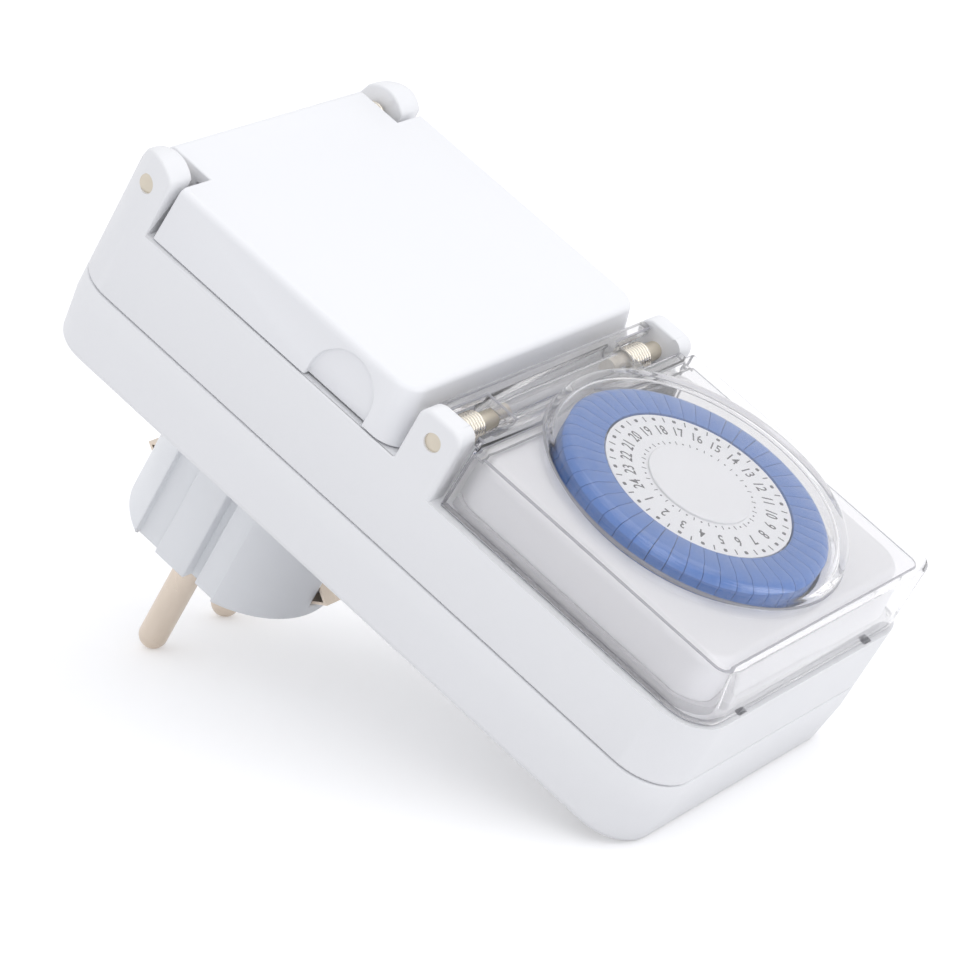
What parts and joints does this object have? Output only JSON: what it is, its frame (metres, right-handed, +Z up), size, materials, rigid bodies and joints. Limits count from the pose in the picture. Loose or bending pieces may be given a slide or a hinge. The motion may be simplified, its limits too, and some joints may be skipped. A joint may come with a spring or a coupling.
{
  "type": "plug-in timer switch",
  "caption": "Plug-in mechanical timer socket: turning dial with press-down half-hour tappets, hinged clear cover, hinged socket flap, round-pin plug behind.",
  "frame": {"origin": "middle of the bounding box, on the surface that the switch rests on", "axes": "+X across the case, +Y from the dial end to the socket end along the surface, +Z up; the case leans on its plug pins and its dial-end edge"},
  "size_m": [0.0646, 0.1244, 0.088],
  "materials": {
    "housing_white": "moulded plastic, fine satin",
    "lid_white": "moulded plastic, fine satin",
    "plug_white": "moulded plastic, smooth",
    "clear_cover": "clear moulded plastic",
    "tappet_blue": "coloured moulded plastic",
    "dial_white": "printed plastic",
    "insert_white": "moulded plastic",
    "pin_nickel": "nickel-plated brass",
    "sleeve_brass": "plain brass",
    "hinge_pin_steel": "ground steel pin",
    "spring_steel": "spring wire",
    "screw_steel": "zinc-plated",
    "seal_rubber": "soft seal",
    "gear_plastic": "acetal",
    "plate_steel": "pressed sheet",
    "switch_dark": "moulded plastic",
    "lead_sleeve": "insulated wire"
  },
  "bodies": {
    "case": {"centre_cap": "dial_white", "dial_lid_pins": "hinge_pin_steel", "dial_lid_spring_left": "spring_steel", "dial_lid_spring_right": "spring_steel", "dial_seal": "seal_rubber", "dial_spindle": "hinge_pin_steel", "earth_bracket": "pin_nickel", "front_housing": "housing_white", "housing_screws": "screw_steel", "housing_seal": "seal_rubber", "idler_axle": "hinge_pin_steel", "insert_screws": "screw_steel", "lever_pivot": "hinge_pin_steel", "live_feed": "sleeve_brass", "live_insulator": "gear_plastic", "live_return": "sleeve_brass", "mechanism_plate": "plate_steel", "mechanism_screws": "screw_steel", "motor": "plate_steel", "motor_lead_live": "lead_sleeve", "motor_lead_neutral": "lead_sleeve", "plug_body": "plug_white", "plug_pin_live": "pin_nickel", "plug_pin_neutral": "pin_nickel", "plug_screws": "screw_steel", "rear_housing": "housing_white", "shutter_screw": "screw_steel", "shutter_spring": "spring_steel", "socket_earth_clips": "pin_nickel", "socket_insert": "insert_white", "socket_lid_pin": "hinge_pin_steel", "socket_lid_spring": "spring_steel", "socket_sleeve_live": "sleeve_brass", "socket_sleeve_neutral": "sleeve_brass", "switch_body": "switch_dark"},
    "dial": {"dial_carrier": "dial_white", "dial_face": "dial_white", "tappets": "tappet_blue"},
    "output_gear": {"output_gear": "gear_plastic"},
    "idler_gear": {"idler_gear": "gear_plastic"},
    "motor_rotor": {"motor_pinion": "gear_plastic"},
    "lever": {"switch_lever": "gear_plastic"},
    "plunger": {"switch_plunger": "gear_plastic"},
    "shutter": {"shutter": "insert_white"},
    "socket_flap": {"socket_lid": "lid_white", "socket_lid_seal": "seal_rubber"},
    "dial_cover": {"dial_lid": "clear_cover"},
    "tappet_0000": {"tappet_0000": "tappet_blue"},
    "tappet_1500": {"tappet_1500": "tappet_blue"},
    "tappet_1530": {"tappet_1530": "tappet_blue"},
    "tappet_1600": {"tappet_1600": "tappet_blue"},
    "tappet_1630": {"tappet_1630": "tappet_blue"},
    "tappet_2030": {"tappet_2030": "tappet_blue"},
    "tappet_2100": {"tappet_2100": "tappet_blue"},
    "tappet_2130": {"tappet_2130": "tappet_blue"},
    "tappet_2200": {"tappet_2200": "tappet_blue"},
    "tappet_2230": {"tappet_2230": "tappet_blue"},
    "tappet_2300": {"tappet_2300": "tappet_blue"},
    "tappet_2330": {"tappet_2330": "tappet_blue"}
  },
  "joints": [
    {"name": "dial_lid_hinge", "type": "hinge", "parent": "case", "child": "dial_cover", "pos_m": [0, -0.01193, 0.05464], "axis": [-1, 0, 0], "range_deg": [0, 92], "stiffness_Nm_per_rad": 0.006, "springref_deg": -57.3},
    {"name": "dial_turn", "type": "hinge", "parent": "case", "child": "dial", "pos_m": [0, -0.03444, 0.03969], "axis": [0, -0.4737, 0.8807], "continuous": true},
    {"name": "lever_turn", "type": "hinge", "parent": "case", "child": "lever", "pos_m": [0, -0.00296, 0.04471], "axis": [1, 0, 0], "range_deg": [0, 14], "stiffness_Nm_per_rad": 0.004, "springref_deg": -17.19},
    {"name": "shutter_turn", "type": "hinge", "parent": "case", "child": "shutter", "pos_m": [0, 0.02806, 0.05163], "axis": [0, -0.4737, 0.8807], "range_deg": [0, 36], "stiffness_Nm_per_rad": 0.0005, "springref_deg": -17.19},
    {"name": "socket_lid_hinge", "type": "hinge", "parent": "case", "child": "socket_flap", "pos_m": [0, 0.04068, 0.08306], "axis": [-1, 0, 0], "range_deg": [0, 105], "stiffness_Nm_per_rad": 0.006, "springref_deg": -57.3},
    {"name": "train_output_turn", "type": "hinge", "parent": "case", "child": "output_gear", "pos_m": [-0.00707, -0.03588, 0.02745], "axis": [0, -0.4737, 0.8807], "continuous": true},
    {"name": "train_idler_turn", "type": "hinge", "parent": "case", "child": "idler_gear", "pos_m": [0.00702, -0.0404, 0.02502], "axis": [0, -0.4737, 0.8807], "continuous": true},
    {"name": "train_motor_turn", "type": "hinge", "parent": "case", "child": "motor_rotor", "pos_m": [0.01077, -0.03468, 0.0281], "axis": [0, -0.4737, 0.8807], "continuous": true},
    {"name": "switch_plunger_slide", "type": "slide", "parent": "case", "child": "plunger", "axis": [0, 0.4737, -0.8807], "range_m": [0, 0.0015]},
    {"name": "tappet_0000_slide", "type": "slide", "parent": "dial", "child": "tappet_0000", "axis": [0, 0.4737, -0.8807], "range_m": [0, 0.0024]},
    {"name": "tappet_1500_slide", "type": "slide", "parent": "dial", "child": "tappet_1500", "axis": [0, 0.4737, -0.8807], "range_m": [0, 0.0024]},
    {"name": "tappet_1530_slide", "type": "slide", "parent": "dial", "child": "tappet_1530", "axis": [0, 0.4737, -0.8807], "range_m": [0, 0.0024]},
    {"name": "tappet_1600_slide", "type": "slide", "parent": "dial", "child": "tappet_1600", "axis": [0, 0.4737, -0.8807], "range_m": [0, 0.0024]},
    {"name": "tappet_1630_slide", "type": "slide", "parent": "dial", "child": "tappet_1630", "axis": [0, 0.4737, -0.8807], "range_m": [0, 0.0024]},
    {"name": "tappet_2030_slide", "type": "slide", "parent": "dial", "child": "tappet_2030", "axis": [0, 0.4737, -0.8807], "range_m": [0, 0.0024]},
    {"name": "tappet_2100_slide", "type": "slide", "parent": "dial", "child": "tappet_2100", "axis": [0, 0.4737, -0.8807], "range_m": [0, 0.0024]},
    {"name": "tappet_2130_slide", "type": "slide", "parent": "dial", "child": "tappet_2130", "axis": [0, 0.4737, -0.8807], "range_m": [0, 0.0024]},
    {"name": "tappet_2200_slide", "type": "slide", "parent": "dial", "child": "tappet_2200", "axis": [0, 0.4737, -0.8807], "range_m": [0, 0.0024]},
    {"name": "tappet_2230_slide", "type": "slide", "parent": "dial", "child": "tappet_2230", "axis": [0, 0.4737, -0.8807], "range_m": [0, 0.0024]},
    {"name": "tappet_2300_slide", "type": "slide", "parent": "dial", "child": "tappet_2300", "axis": [0, 0.4737, -0.8807], "range_m": [0, 0.0024]},
    {"name": "tappet_2330_slide", "type": "slide", "parent": "dial", "child": "tappet_2330", "axis": [0, 0.4737, -0.8807], "range_m": [0, 0.0024]}
  ],
  "couplings": [
    {"joint": "train_output_turn", "follows": "dial_turn", "ratio": 6},
    {"joint": "train_idler_turn", "follows": "dial_turn", "ratio": -12},
    {"joint": "train_motor_turn", "follows": "dial_turn", "ratio": 24},
    {"joint": "switch_plunger_slide", "follows": "lever_turn", "m_per_rad": 0.0059}
  ]
}
